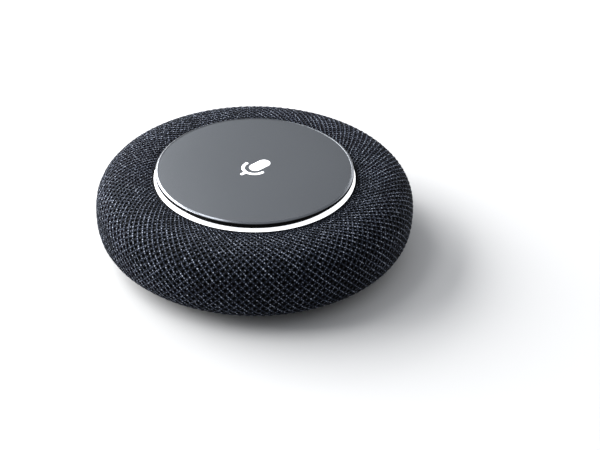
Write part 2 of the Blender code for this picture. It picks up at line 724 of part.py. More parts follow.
def switches(finishes):
    """The three press switches under the disc: each body on the board, each plunger with the disc."""
    low = BOARD_TOP + CHIP_GAP
    high = low + 1.0 * MM
    radius = 0.9 * MM
    for number, angle in enumerate(around(SWITCH_COUNT, 90.0), 1):
        spot = at(SWITCH_CIRCLE, angle)
        body = ring(
            f"switch_body_{number}", radius + GAP, radius + 1.6 * MM,
            low, high, finishes["chip"], SMALL_STEPS,
        )
        body.location = spot
        plunger = rod(
            f"switch_plunger_{number}", radius, low + PRESS_TRAVEL + 0.1 * MM,
            CARRIER_BOTTOM - GAP, finishes["white"], SMALL_STEPS,
        )
        plunger.location = spot


def icon_outlines(spread):
    """The microphone glyph, widened all round by spread: the capsule, and the cradle with its stem."""
    top = ICON_LENGTH / 2 - CAPSULE_RADIUS
    low = top - (CAPSULE_LENGTH - 2 * CAPSULE_RADIUS)
    capsule = arc(CAPSULE_RADIUS + spread, 0, 180, 8, (0.0, top))
    capsule += arc(CAPSULE_RADIUS + spread, 180, 360, 8, (0.0, low))
    half = ICON_STROKE / 2 + spread
    pivot = (0.0, low - CRADLE_DROP)
    outer = CRADLE_RADIUS + half
    stem = math.degrees(math.asin(half / outer))
    foot = (0.0, (ICON_STROKE - ICON_LENGTH) / 2)
    cradle = arc(CRADLE_RADIUS - half, 360, 180, 14, pivot)
    cradle += arc(half, 0, 180, 5, (-CRADLE_RADIUS, pivot[1]))[1:-1]
    cradle += arc(outer, 180, 270 - stem, 7, pivot)
    cradle += arc(half, 180, 360, 5, foot)
    cradle += arc(outer, 270 + stem, 360, 7, pivot)
    cradle += arc(half, 0, 180, 5, (CRADLE_RADIUS, pivot[1]))[1:-1]
    return {"capsule": capsule, "cradle": cradle}


def top_disc(finishes):
    """The pressable disc, the carrier glued under it and the icon's two lenses."""
    face = DISC_RADIUS - DISC_CHAMFER_OUT
    skirt = DISC_RADIUS - DISC_SKIRT
    under = BODY_HEIGHT - DISC_WALL
    outline = [
        (0.0, BODY_HEIGHT), (face, BODY_HEIGHT), (DISC_RADIUS, BODY_HEIGHT - DISC_CHAMFER_DOWN),
        (DISC_RADIUS, DISC_BOTTOM), (skirt, DISC_BOTTOM), (skirt, under), (0.0, under),
    ]
    disc = turned("touch_disc", outline, finishes["disc"], OUTER_STEPS, closed=False)
    lenses = icon_outlines(0.0)
    for name, opening in icon_outlines(ICON_GAP).items():
        cutter = slab(f"{name}_window", [opening], DISC_WALL * 3)
        cutter.location.z = BODY_HEIGHT
        cut(disc, cutter)
        lens = slab(f"icon_{name}", [lenses[name]], DISC_WALL - GAP, finishes["milky"])
        lens.location.z = BODY_HEIGHT - (DISC_WALL - GAP) / 2
    carrier_radius = RING_INNER - 3 * GAP - BAFFLE_WALL
    carrier = [
        (0.0, CARRIER_TOP), (carrier_radius, CARRIER_TOP), (carrier_radius, CARRIER_BOTTOM),
        (GUIDE_RADIUS, CARRIER_BOTTOM), (GUIDE_RADIUS, CHASSIS_BOTTOM + PRESS_TRAVEL + 0.1 * MM),
        (0.0, CHASSIS_BOTTOM + PRESS_TRAVEL + 0.1 * MM),
    ]
    turned("disc_carrier", carrier, finishes["milky"], closed=False)


def main():
    clear_scene()
    finishes = {
        "fabric": material("charcoal_knit", (0.025, 0.028, 0.034), 0.95),
        "black": material("black_polymer", (0.018, 0.018, 0.02), 0.5),
        "disc": material("grey_satin_disc", (0.17, 0.175, 0.185), 0.38),
        "milky": material("milky_diffuser", (0.9, 0.92, 0.95), 0.4),
        "silicone": material("black_silicone", (0.03, 0.03, 0.032), 0.8),
        "steel": material("plated_steel", (0.55, 0.55, 0.56), 0.35, 1.0),
        "magnet": material("plated_magnet", (0.5, 0.5, 0.52), 0.3, 1.0),
        "copper": material("enamelled_copper", (0.6, 0.25, 0.1), 0.35, 1.0),
        "paper": material("pressed_paper", (0.05, 0.05, 0.05), 0.9),
        "board": material("board_laminate", (0.02, 0.12, 0.06), 0.5),
        "chip": material("moulded_epoxy", (0.02, 0.02, 0.02), 0.6),
        "ferrite": material("ferrite", (0.08, 0.08, 0.085), 0.7),
        "white": material("white_polymer", (0.8, 0.8, 0.78), 0.5),
    }
    side_wall(finishes)
    base(finishes)
    housing(finishes)
    motor_radius = driver_motor(finishes)
    driver_frame(motor_radius, finishes)
    driver_diaphragm(motor_radius, finishes)
    main_board(finishes)
    port(finishes)
    top_chassis(finishes)
    lit_ring(finishes)
    top_disc(finishes)
    switches(finishes)


main()
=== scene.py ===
import math

import bmesh
import bpy
import numpy as np
from mathutils import Matrix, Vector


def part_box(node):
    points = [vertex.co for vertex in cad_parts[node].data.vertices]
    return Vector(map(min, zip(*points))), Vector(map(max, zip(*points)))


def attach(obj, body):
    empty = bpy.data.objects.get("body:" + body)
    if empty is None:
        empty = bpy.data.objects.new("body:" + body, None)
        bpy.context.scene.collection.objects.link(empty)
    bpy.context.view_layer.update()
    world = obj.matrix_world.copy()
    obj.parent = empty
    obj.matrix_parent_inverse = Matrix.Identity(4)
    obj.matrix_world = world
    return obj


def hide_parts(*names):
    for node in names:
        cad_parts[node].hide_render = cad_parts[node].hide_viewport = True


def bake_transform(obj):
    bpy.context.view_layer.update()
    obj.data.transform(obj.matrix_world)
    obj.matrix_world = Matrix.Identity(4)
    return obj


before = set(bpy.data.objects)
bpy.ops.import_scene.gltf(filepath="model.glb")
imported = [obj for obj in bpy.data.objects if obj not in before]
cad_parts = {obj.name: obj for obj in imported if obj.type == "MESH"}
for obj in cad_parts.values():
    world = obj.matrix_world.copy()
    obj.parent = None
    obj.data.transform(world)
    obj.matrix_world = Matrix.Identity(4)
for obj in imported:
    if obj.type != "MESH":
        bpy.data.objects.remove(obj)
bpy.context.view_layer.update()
mm = 0.001
random = np.random.default_rng(7)
print("frame loaded:", len(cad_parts), "nodes")


def boxOf(node):
    low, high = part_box(node)
    return np.array(low), np.array(high)


def putMesh(name, points, faces, sharpDegrees=35, uv=None):
    # points is an (n, 3) array; faces a list of index arrays, each (count, corners)
    mesh = bpy.data.meshes.new(name)
    sizes = np.concatenate([np.full(len(f), f.shape[1], np.int32) for f in faces])
    corners = np.concatenate([f.ravel() for f in faces]).astype(np.int32)
    mesh.vertices.add(len(points))
    mesh.vertices.foreach_set("co", np.ascontiguousarray(points, np.float32).ravel())
    mesh.loops.add(len(corners))
    mesh.loops.foreach_set("vertex_index", corners)
    mesh.polygons.add(len(sizes))
    mesh.polygons.foreach_set("loop_start", np.concatenate([[0], np.cumsum(sizes)[:-1]]).astype(np.int32))
    mesh.update(calc_edges=True)
    if uv is not None:
        layer = mesh.uv_layers.new(name="lay")
        layer.data.foreach_set("uv", np.ascontiguousarray(uv[corners], np.float32).ravel())
    mesh.validate()
    mesh.shade_smooth()
    mesh.set_sharp_from_angle(angle=math.radians(sharpDegrees))
    piece = bpy.data.objects.new(name, mesh)
    bpy.context.scene.collection.objects.link(piece)
    return piece


def gridFaces(rows, columns, closeRows=False, closeColumns=False):
    # quads between neighbouring rows and columns of a grid of points, joined up round where asked
    row = np.arange(rows if closeRows else rows - 1)[:, None]
    column = np.arange(columns if closeColumns else columns - 1)[None, :]
    nextRow = (row + 1) % rows
    nextColumn = (column + 1) % columns
    quads = [row * columns + column, nextRow * columns + column,
             nextRow * columns + nextColumn, row * columns + nextColumn]
    return np.stack([np.broadcast_to(q, (row.size, column.size)).ravel() for q in quads], axis=1)


def rounded(corners, steps=5):
    # each corner is (r, z, fillet): it becomes a parabola from one fillet length before it to one after
    corners = np.array(corners, float)
    place, fillet = corners[:, :2], corners[:, 2:]
    before, after = np.roll(place, 1, 0) - place, np.roll(place, -1, 0) - place
    reachBefore, reachAfter = (np.linalg.norm(d, axis=1, keepdims=True) for d in (before, after))
    start = place + before / reachBefore * np.minimum(fillet, reachBefore * 0.45)
    end = place + after / reachAfter * np.minimum(fillet, reachAfter * 0.45)
    t = np.linspace(0, 1, steps)[None, :, None]
    bend = start[:, None] * (1 - t) ** 2 + 2 * place[:, None] * t * (1 - t) + end[:, None] * t**2
    keep = np.ones((len(place), steps), bool)
    keep[fillet[:, 0] == 0, 1:] = False
    return bend[keep]


def turned(name, profile, steps=192, sharpDegrees=35):
    # a closed profile of (r, z) carried round Z: point = (r cos a, r sin a, z)
    angle = np.linspace(0, 2 * np.pi, steps, endpoint=False)[:, None]
    r, z = profile[:, 0][None, :], profile[:, 1][None, :]
    points = np.stack([r * np.cos(angle), r * np.sin(angle), z + 0 * angle], axis=2).reshape(-1, 3)
    piece = putMesh(name, points, [gridFaces(steps, len(profile), True, True)], sharpDegrees)
    tidyMesh(piece, sharpDegrees)
    return piece


def tidyMesh(piece, sharpDegrees=35):
    # closes poles and seams, and turns every face outwards
    shape = bmesh.new()
    shape.from_mesh(piece.data)
    bmesh.ops.remove_doubles(shape, verts=shape.verts, dist=0.002 * mm)
    bmesh.ops.recalc_face_normals(shape, faces=shape.faces)
    shape.to_mesh(piece.data)
    shape.free()
    piece.data.shade_smooth()
    piece.data.set_sharp_from_angle(angle=math.radians(sharpDegrees))


def stadium(width, height, steps=12):
    # a slot outline, anticlockwise, with half-round ends, as an (n, 2) array
    angle = np.linspace(-np.pi / 2, np.pi / 2, steps + 1)
    end = np.stack([np.cos(angle), np.sin(angle)], axis=1) * height / 2
    shift = np.array([(width - height) / 2, 0])
    return np.concatenate([end + shift, -end - shift])


def slab(name, outline, bottom, top, edge=0.0):
    # a flat outline given a thickness; its upper rim is rolled over by edge
    count = len(outline)
    ahead = np.roll(outline, -1, 0) - np.roll(outline, 1, 0)
    inward = np.stack([-ahead[:, 1], ahead[:, 0]], axis=1) / np.linalg.norm(ahead, axis=1)[:, None]
    rows = [(outline, bottom), (outline, top - edge)]
    if edge:
        rows += [(outline + inward * edge * 0.3, top - edge * 0.3), (outline + inward * edge, top)]
    points = np.concatenate([np.column_stack([flat, np.full(count, z)]) for flat, z in rows])
    index = np.arange(count)
    faces = [gridFaces(len(rows), count, False, True)[:, ::-1], index[None, ::-1],
             (index + (len(rows) - 1) * count)[None, :]]
    piece = putMesh(name, points, faces)
    tidyMesh(piece)
    return piece


def carve(piece, cutters, sharpDegrees=35):
    # takes each cutter out of the piece and removes the cutter
    for cutter in cutters:
        boolean = piece.modifiers.new(cutter.name, "BOOLEAN")
        boolean.operation = "DIFFERENCE"
        boolean.object = cutter
    graph = bpy.context.evaluated_depsgraph_get()
    mesh = bpy.data.meshes.new_from_object(piece.evaluated_get(graph))
    piece.modifiers.clear()
    piece.data = mesh
    for cutter in cutters:
        bpy.data.objects.remove(cutter)
    tidyMesh(piece, sharpDegrees)


def toLinear(hexColour):
    # an sRGB hex colour as linear RGBA
    parts = [int(hexColour[i:i + 2], 16) / 255 for i in (1, 3, 5)]
    return [c / 12.92 if c <= 0.04045 else ((c + 0.055) / 1.055) ** 2.4 for c in parts] + [1.0]


def addNode(tree, kind, settings=None, links=None):
    # adds a shader node of this kind; a setting is one of its properties or an unlinked input
    node = tree.nodes.new("ShaderNode" + kind)
    for key, value in (settings or {}).items():
        if isinstance(key, str) and hasattr(node, key):
            setattr(node, key, value)
        else:
            node.inputs[key].default_value = value
    for key, source in (links or {}).items():
        tree.links.new(source, node.inputs[key])
    return node


def feed(shader, sources):
    # links each source to the shader input that it is named for
    for key, source in sources.items():
        shader.id_data.links.new(source, shader.inputs[key])


def startMaterial(name, constants):
    # a Principled material whose constants sit on the shader's own sockets, and its Object coordinates
    material = bpy.data.materials.new(name)
    material.use_nodes = True
    tree = material.node_tree
    shader = tree.nodes["Principled BSDF"]
    for key, value in constants.items():
        shader.inputs[key].default_value = value
    return material, tree, shader, addNode(tree, "TexCoord").outputs["Object"]


def addRamp(tree, source, stops):
    # stops are (position, hex colour)
    ramp = addNode(tree, "ValToRGB", links={"Fac": source})
    points = ramp.color_ramp.elements
    while len(points) < len(stops):
        points.new(0.5)
    for point, (place, colour) in zip(points, stops):
        point.position = place
        point.color = toLinear(colour)
    return ramp.outputs["Color"]


def paintFaces(piece, slot, chosen):
    # gives the faces whose middles are chosen another of the piece's materials
    count = len(piece.data.polygons)
    middle = np.empty(count * 3)
    piece.data.polygons.foreach_get("center", middle)
    slots = np.empty(count, np.int32)
    piece.data.polygons.foreach_get("material_index", slots)
    slots[chosen(middle.reshape(-1, 3))] = slot
    piece.data.polygons.foreach_set("material_index", slots)


def give(names, material):
    # a CAD node keeps its shape and gets a material
    for name in names:
        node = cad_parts[name]
        node.data.materials.clear()
        node.data.materials.append(material)


# The camera stands at the front right of the body, looking down on it. Distance in metres, lens in mm.
cameraView = {"distance": 0.6, "azimuth": 47.0, "elevation": 34.3, "lens": 112.5,
              "sensor": 36, "shiftX": 0.0756, "shiftY": 0.0238}


def facing(thing, away, far):
    # puts a camera or lamp far out along away, looking back at the object, and gives its right-hand direction
    right = np.cross([0, 0, 1], away)
    right /= np.linalg.norm(right)
    axes = np.column_stack([right, np.cross(away, right), away, away * far])
    thing.matrix_world = Matrix([*axes.tolist(), [0, 0, 0, 1]])
    return right


def placeCamera():
    # azimuth is turned from the front towards the right, elevation lifted from the floor
    turn, lift = math.radians(cameraView["azimuth"]), math.radians(cameraView["elevation"])
    away = np.array([math.sin(turn) * math.cos(lift), -math.cos(turn) * math.cos(lift), math.sin(lift)])
    lens = bpy.data.cameras.new("camera")
    lens.lens, lens.sensor_width = cameraView["lens"], cameraView["sensor"]
    lens.shift_x, lens.shift_y = cameraView["shiftX"], cameraView["shiftY"]
    lens.clip_start, lens.clip_end = 0.01, 20
    camera = bpy.data.objects.new("camera", lens)
    bpy.context.scene.collection.objects.link(camera)
    right = facing(camera, away, cameraView["distance"])
    bpy.context.scene.camera = camera
    return right


# Soft daylight from a big window on the left. Angles are turned from the camera's right.
lights = {
    "window": {"turn": 163, "lift": 28, "far": 1.6, "size": (1.5, 1.25), "watts": 66.0,
               "colour": "#ffffff"},
    "highPanel": {"turn": 168, "lift": 66, "far": 1.2, "size": (0.5, 0.34), "watts": 3.0,
                  "colour": "#ffffff"},
    "backWall": {"turn": 126, "lift": 26, "far": 0.6, "size": (0.30, 0.30), "watts": 3.0,
                 "colour": "#ffffff"},
    "rightWall": {"turn": 34, "lift": 18, "far": 0.8, "size": (0.8, 0.35), "watts": 1.6,
                  "colour": "#ffffff"},
}
# The room is brighter behind the object on the left, and dim on the right in front.
worldLight = {"colour": "#f1f4f9", "dim": 0.06, "bright": 0.93, "turn": 140, "lift": 42}
floorFinish = {"colour": "#c4c4c4", "roughness": 0.6, "size": 3.0,
               "below": 0.02 * mm}  # below keeps it clear of the foot


def aim(heading, light):
    # a direction out from the object, turned from the camera's right and lifted from the floor
    turn, lift = math.radians(heading + light["turn"]), math.radians(light["lift"])
    return np.array([math.cos(turn) * math.cos(lift), math.sin(turn) * math.cos(lift), math.sin(lift)])


def lightScene(right):
    # places the lamps, and fades the room from dim to bright along one direction
    heading = math.degrees(math.atan2(right[1], right[0]))
    for name, light in lights.items():
        away = aim(heading, light)
        lamp = bpy.data.lights.new(name, "AREA")
        lamp.shape = "RECTANGLE"
        lamp.size, lamp.size_y = light["size"]
        lamp.energy = light["watts"]
        lamp.color = toLinear(light["colour"])[:3]
        holder = bpy.data.objects.new(name, lamp)
        bpy.context.scene.collection.objects.link(holder)
        facing(holder, away, light["far"])
    world = bpy.data.worlds.new("studio")
    world.use_nodes = True
    tree = world.node_tree
    backdrop = tree.nodes["Background"]
    backdrop.inputs["Color"].default_value = toLinear(worldLight["colour"])
    where = addNode(tree, "TexCoord")
    towards = addNode(tree, "VectorMath", {"operation": "DOT_PRODUCT", 1: aim(heading, worldLight)},
                      {0: where.outputs["Generated"]})
    level = addNode(tree, "MapRange",
                    {"From Min": -1.0, "To Min": worldLight["dim"], "To Max": worldLight["bright"]},
                    {"Value": towards.outputs["Value"]})
    tree.links.new(level.outputs["Result"], backdrop.inputs["Strength"])
    bpy.context.scene.world = world
    bpy.context.scene.view_settings.view_transform = "Standard"


def makeFloor():
    # painted board: flat and pale, with the faintest roller texture
    material, tree, shader, place = startMaterial("paintedBoard", {
        "Base Color": toLinear(floorFinish["colour"]), "Roughness": floorFinish["roughness"],
        "Specular IOR Level": 0.2})
    roller = addNode(tree, "TexNoise", {"Scale": 900.0, "Detail": 2.0}, {"Vector": place})
    bump = addNode(tree, "Bump", {"Strength": 0.05, "Distance": 0.05 * mm},
                   {"Height": roller.outputs["Fac"]})
    feed(shader, {"Normal": bump.outputs["Normal"]})
    half, low = floorFinish["size"] / 2, -floorFinish["below"]
    corners = np.array([[-half, -half, low], [half, -half, low], [half, half, low], [-half, half, low]])
    board = putMesh("floor", corners, [np.array([[0, 1, 2, 3]])])
    board.data.materials.append(material)


lightScene(placeCamera())
makeFloor()
print("camera, light and floor placed")


# The side of the body: a shallow dip inside the crest, then one superellipse out to the waist
# and another in to the hem. Sizes in mm.
sideForm = {"lipRadius": 32.1, "lipDip": 0.5, "crestRadius": 35.5, "crestZ": 24.7,
            "waistZ": 13.6, "upperPower": 2.55, "hemRadius": 32.0, "hemZ": 1.2, "lowerPower": 3.0}


def sideLine(count=6000):
    # r = flat + (wide - flat) cos(t)^(2/n), z = level + height sin(t)^(2/n) on either side of the waist
    low, high = boxOf("fabric_cover")
    waist = (high[0] - low[0]) / 2 / mm
    part = np.linspace(0, 1, count // 4, endpoint=False)
    dip = np.stack([sideForm["lipRadius"] + (sideForm["crestRadius"] - sideForm["lipRadius"]) * part,
                    sideForm["crestZ"] - sideForm["lipDip"] * (1 - part) ** 2], axis=1)
    t = np.linspace(np.pi / 2, 0, count // 2, endpoint=False)
    power = 2 / sideForm["upperPower"]
    upper = np.stack([sideForm["crestRadius"] + (waist - sideForm["crestRadius"]) * np.cos(t) ** power,
                      sideForm["waistZ"] + (sideForm["crestZ"] - sideForm["waistZ"]) * np.sin(t) ** power],
                      axis=1)
    t = np.linspace(0, np.pi / 2, count // 2)
    power = 2 / sideForm["lowerPower"]
    lower = np.stack([sideForm["hemRadius"] + (waist - sideForm["hemRadius"]) * np.cos(t).clip(0) ** power,
                      sideForm["waistZ"] + (sideForm["hemZ"] - sideForm["waistZ"]) * np.sin(t) ** power],
                      axis=1)
    line = np.concatenate([dip, upper, lower]) * mm
    step = np.linalg.norm(np.diff(line, axis=0), axis=1)
    line = line[np.concatenate([[True], step > 1e-9])]
    along = np.concatenate([[0], np.cumsum(np.linalg.norm(np.diff(line, axis=0), axis=1))])
    even = np.linspace(0, along[-1], 2400)
    return np.stack([np.interp(even, along, line[:, i]) for i in (0, 1)], axis=1), even


line, along = sideLine()
ahead = np.gradient(line, axis=0)
for _ in range(12):
    ahead[1:-1] = (ahead[:-2] + ahead[1:-1] * 2 + ahead[2:]) / 4
ahead /= np.linalg.norm(ahead, axis=1)[:, None]
outward = np.stack([-ahead[:, 1], ahead[:, 0]], axis=1)
# how far a thread at 45 degrees has turned by each place on the line: the sum of ds / r
turnSoFar = np.concatenate([[0], np.cumsum(np.diff(along) / ((line[1:, 0] + line[:-1, 0]) / 2))])


def onSide(turn, depth):
    # the place on the side line where a thread has turned so far, pushed in square to the surface
    r, z = (np.interp(turn, turnSoFar, line[:, i]) for i in (0, 1))
    outR, outZ = (np.interp(turn, turnSoFar, outward[:, i]) for i in (0, 1))
    return r - depth * outR, z - depth * outZ, outR, outZ


# The opening for the charging port, straight through the back of the cover, in mm.
portHole = {"width": 15.4, "height": 9.4, "z": 12.0, "gap": 0.1}


def beyondPort(x, z):
    # distance outside a slot outline in the x-z plane, and the direction straight out of it
    reach = (portHole["width"] - portHole["height"]) / 2 * mm
    alongX = x - x.clip(-reach, reach)
    alongZ = z - portHole["z"] * mm
    far = np.hypot(alongX, alongZ) + 1e-9
    return far - (portHole["height"] / 2 + portHole["gap"]) * mm, alongX / far, alongZ / far


# The yarn is an open plain weave of flat yarns, laid on the bias. Sizes in mm.
weave = {"yarns": 126, "fill": {1: 0.54, -1: 0.70}, "thickness": 0.34, "rise": 0.07,
         "depth": {1: 0.25, -1: 0.33},
         "stepsPerCrossing": 4, "sides": 6, "swell": 0.12, "wander": 0.10,
         "wanderWaves": (9, 23), "plump": 0.10, "plumpWaves": 31, "uneven": 0.06, "tuck": 0.25,
         "tuckedWidth": 0.4, "leap": 1.0}


def weaveYarns(name, side, first, apart):
    # each yarn is a helix: angle = start + side * turn. Its height is rise * cos(yarns * turn), over and
    # under in step, and its section is a flat ellipse whose width follows the spacing
    count = weave["yarns"]
    crossings = turnSoFar[-1] * count / np.pi
    steps = int(crossings * weave["stepsPerCrossing"])
    turn = np.linspace(0, turnSoFar[-1], steps)[None, :]
    number = np.arange(first, count, apart)[:, None]
    wave = side * np.cos(count * turn)
    depth = (weave["depth"][side] - weave["rise"] * wave) * mm
    r, z, outR, outZ = onSide(turn + 0 * number, depth + 0 * number)
    pitch = 2 * np.pi * r / count * math.sqrt(0.5)
    # slow wander sideways, and yarns that are a little thicker or thinner along their length
    phase = random.uniform(0, 2 * np.pi, (len(number), 4))
    slow, quick = weave["wanderWaves"]
    drift = np.sin(turn * slow + phase[:, :1]) + np.sin(turn * quick + phase[:, 1:2])
    drift = drift * 0.5 * weave["wander"]
    plump = 1 + weave["plump"] * np.sin(turn * weave["plumpWaves"] + phase[:, 2:3])
    plump = plump + random.uniform(-weave["uneven"], weave["uneven"], (len(number), 1))
    angle = 2 * np.pi * (number + drift * 0.6) / count + side * turn
    centre = np.stack([r * np.cos(angle), r * np.sin(angle), z], axis=2)
    normal = np.stack([outR * np.cos(angle), outR * np.sin(angle), outZ], axis=2)
    # the cut ends round the port are tucked under its bezel
    beyond, awayX, awayZ = beyondPort(centre[..., 0], centre[..., 2])
    inside = (beyond < 0) & (centre[..., 1] > 0)
    shift = np.where(inside, -beyond, 0)
    centre[..., 0] += shift * awayX
    centre[..., 2] += shift * awayZ
    depthFix = np.where(inside, weave["tuck"] * mm, 0)
    reach = np.interp(centre[..., 2], *sortedSide) - depth - depthFix
    y = np.sqrt((reach**2 - centre[..., 0] ** 2).clip(0))
    centre[..., 1] = np.where(inside, y, centre[..., 1])
    forward = np.gradient(centre, axis=1)
    forward /= np.linalg.norm(forward, axis=2)[..., None] + 1e-12
    across = np.cross(forward, normal)
    across /= np.linalg.norm(across, axis=2)[..., None] + 1e-12
    square = np.cross(across, forward)
    half = pitch * weave["fill"][side] / 2 * plump * (1 + weave["swell"] * wave)
    half = np.where(inside, half * weave["tuckedWidth"], half)[..., None, None]
    thick = weave["thickness"] / 2 * mm
    a = np.linspace(0, 2 * np.pi, weave["sides"], endpoint=False)[None, None, :, None] + np.pi / 6
    points = (centre[:, :, None] + across[:, :, None] * half * np.cos(a)
              + square[:, :, None] * thick * np.sin(a))
    yarnsHere, sides = len(number), weave["sides"]
    one = gridFaces(steps, sides, False, True)
    start = (np.arange(yarnsHere) * steps * sides)[:, None, None]
    # a yarn stops where it would cross the port, and starts again on the other side
    leap = np.linalg.norm(np.diff(centre, axis=1), axis=2) > weave["leap"] * mm
    walls = (one[None] + start).reshape(yarnsHere, steps - 1, sides, 4)[~leap].reshape(-1, 4)
    cap = np.arange(sides)[None]
    yarn, step = np.nonzero(leap)
    ends = ((yarn * steps + step) * sides)[:, None]
    caps = np.concatenate([cap[:, ::-1] + start[:, 0], cap + (steps - 1) * sides + start[:, 0],
                           cap + ends, cap[:, ::-1] + ends + sides])
    # UV: how far along the yarn in cm, different for each, and how near the crown, from 0 below to 1 on top
    run = np.interp(turn, turnSoFar, along) * math.sqrt(2) * 100 + number * 3.7
    uv = np.stack(np.broadcast_arrays(run[:, :, None], np.sin(a[0, 0, :, 0]) / 2 + 0.5), axis=3)
    piece = putMesh(name, points.reshape(-1, 3), [walls, caps], 60, uv.reshape(-1, 2))
    return piece


climb = line[:, 1].argmax()
sortedSide = (line[climb:, 1][::-1], line[climb:, 0][::-1])

yarnPieces = [weaveYarns(f"yarn_{lean}_{group + 1}", side, group, 2)
              for lean, side in (("left", 1), ("right", -1)) for group in range(2)]
print("yarns woven:", sum(len(p.data.polygons) for p in yarnPieces), "faces")


# The dyed backing that the yarns lie on, pulled tight over the grille. Sizes in mm.
backing = {"depth": 0.52, "wall": 0.24, "steps": 360, "rows": 120}


def makeBacking():
    # the side line pushed in and carried round, without the faces over the port
    turn = np.linspace(0, turnSoFar[-1], backing["rows"])
    r, z, _, _ = onSide(turn, np.full(len(turn), backing["depth"] * mm))
    angle = np.linspace(0, 2 * np.pi, backing["steps"], endpoint=False)[:, None]
    points = np.stack([r * np.cos(angle), r * np.sin(angle), z + 0 * angle], axis=2).reshape(-1, 3)
    faces = gridFaces(backing["steps"], backing["rows"], True, False)
    middle = points[faces].mean(axis=1)
    beyond, _, _ = beyondPort(middle[:, 0], middle[:, 2])
    faces = faces[(beyond > 0) | (middle[:, 1] < 0)]
    used, faces = np.unique(faces, return_inverse=True)
    cloth = putMesh("cover_backing", points[used], [faces.reshape(-1, 4)])
    shape = bmesh.new()
    shape.from_mesh(cloth.data)
    bmesh.ops.recalc_face_normals(shape, faces=shape.faces)
    shape.faces.ensure_lookup_table()
    face = shape.faces[len(shape.faces) // 2]
    if face.normal.dot(face.calc_center_median() - bpy.context.scene.cursor.location) < 0:
        bmesh.ops.reverse_faces(shape, faces=shape.faces)
    shape.to_mesh(cloth.data)
    shape.free()
    wall = cloth.modifiers.new("wall", "SOLIDIFY")
    wall.thickness = backing["wall"] * mm
    wall.offset = -1
    return cloth


cloth = makeBacking()

# Turned and welded hems: a thin bead at the ring and another round the base. Sizes in mm.
hems = {"top": {"radius": 31.90, "z": 23.93, "across": 0.36, "tall": 0.34},
        "bottom": {"radius": 32.35, "z": 1.42, "across": 0.42, "tall": 0.30}}


def makeHem(name, hem):
    # an ellipse carried round Z
    a = np.linspace(0, 2 * np.pi, 12, endpoint=False)
    profile = np.stack([hem["radius"] + hem["across"] * np.cos(a), hem["z"] + hem["tall"] * np.sin(a)],
                       axis=1) * mm
    return turned(name, profile, 240, 60)


topHem = makeHem("hem_top", hems["top"])
bottomHem = makeHem("hem_bottom", hems["bottom"])


# Colours from the yarn's flanks to its crown, for the two leans of the weave: the dark flank end is painted
# shade and the pale crown end a painted highlight, laid over the real flecks.
yarnColours = {1: ("#010203", "#060911", "#161c28", "#464e5e", "#b2b7c1"),
               -1: ("#010102", "#04060a", "#0d111a", "#2c3240", "#7a7f8a")}


def knitMaterial(name, colours):
    # air-textured polyester yarn, spun from charcoal and blue-grey filaments: a dry, flecked cloth whose
    # raised floats catch the light and whose gaps stay nearly black
    material, tree, shader, place = startMaterial(name, {
        "Roughness": 0.85, "Specular IOR Level": 0.12})
    lay = addNode(tree, "UVMap", {"uv_map": "lay"})
    # flecks about 0.9 mm long
    stretch = addNode(tree, "Mapping", {"Scale": (11.0, 1.5, 1.0)}, {"Vector": lay.outputs["UV"]})
    fleck = addNode(tree, "TexNoise", {"Scale": 1.0, "Detail": 3.0, "Roughness": 0.6},
                    {"Vector": stretch.outputs["Vector"]})
    # painted highlight along each yarn's crown and painted shade down its flanks: the colour goes paler
    # towards the top of the section
    split = addNode(tree, "SeparateXYZ", {}, {"Vector": lay.outputs["UV"]})
    crown = addNode(tree, "MapRange", {"From Min": 0.72, "From Max": 1.0, "To Min": 0.02, "To Max": 0.40},
                    {"Value": split.outputs["Y"]})
    # the two plies of the yarn wind round each other every 0.8 mm, and each shows as a pale bead
    across = addNode(tree, "Math", {"operation": "MULTIPLY_ADD", 1: 5.0},
                     {0: split.outputs["Y"], 2: fleck.outputs["Fac"]})
    wound = addNode(tree, "Math", {"operation": "MULTIPLY_ADD", 1: 78.5},
                    {0: split.outputs["X"], 2: across.outputs["Value"]})
    bead = addNode(tree, "Math", {"operation": "SINE"}, {0: wound.outputs["Value"]})
    # the ply beads, added to the painted crown highlight and flank shade
    plyAndCrownLight = addNode(tree, "Math", {"operation": "MULTIPLY_ADD", 1: 0.08},
                  {0: bead.outputs["Value"], 2: crown.outputs["Result"]})
    mixed = addNode(tree, "Math", {"operation": "MULTIPLY_ADD", 1: 0.6},
                    {0: fleck.outputs["Fac"], 2: plyAndCrownLight.outputs["Value"]})
    colour = addRamp(tree, mixed.outputs["Value"], list(zip((0.31, 0.46, 0.60, 0.70, 0.80), colours)))
    # whole stretches of cloth a shade lighter or darker, some 12 mm across
    patch = addNode(tree, "TexNoise", {"Scale": 80.0, "Detail": 2.0}, {"Vector": place})
    shade = addNode(tree, "MapRange", {"From Min": 0.35, "From Max": 0.65, "To Min": 0.82, "To Max": 1.12},
                    {"Value": patch.outputs["Fac"]})
    # the yarn colour, with its painted crown highlight and flank shade, scaled by the patches
    colourWithPaintedCrown = addNode(tree, "VectorMath", {"operation": "SCALE"},
                   {"Vector": colour, "Scale": shade.outputs["Result"]})
    feed(shader, {"Base Color": colourWithPaintedCrown.outputs["Vector"]})
    # filaments, 0.15 mm apart, twisted along the yarn
    twist = addNode(tree, "Mapping", {"Scale": (60.0, 9.0, 1.0), "Rotation": (0, 0, 0.35)},
                    {"Vector": lay.outputs["UV"]})
    filament = addNode(tree, "TexNoise", {"Scale": 1.0, "Detail": 2.0}, {"Vector": twist.outputs["Vector"]})
    relief = addNode(tree, "Math", {"operation": "MULTIPLY_ADD", 1: 0.35},
                     {0: bead.outputs["Value"], 2: filament.outputs["Fac"]})
    bump = addNode(tree, "Bump", {"Strength": 0.6, "Distance": 0.10 * mm},
                   {"Height": relief.outputs["Value"]})
    feed(shader, {"Normal": bump.outputs["Normal"]})
    return material


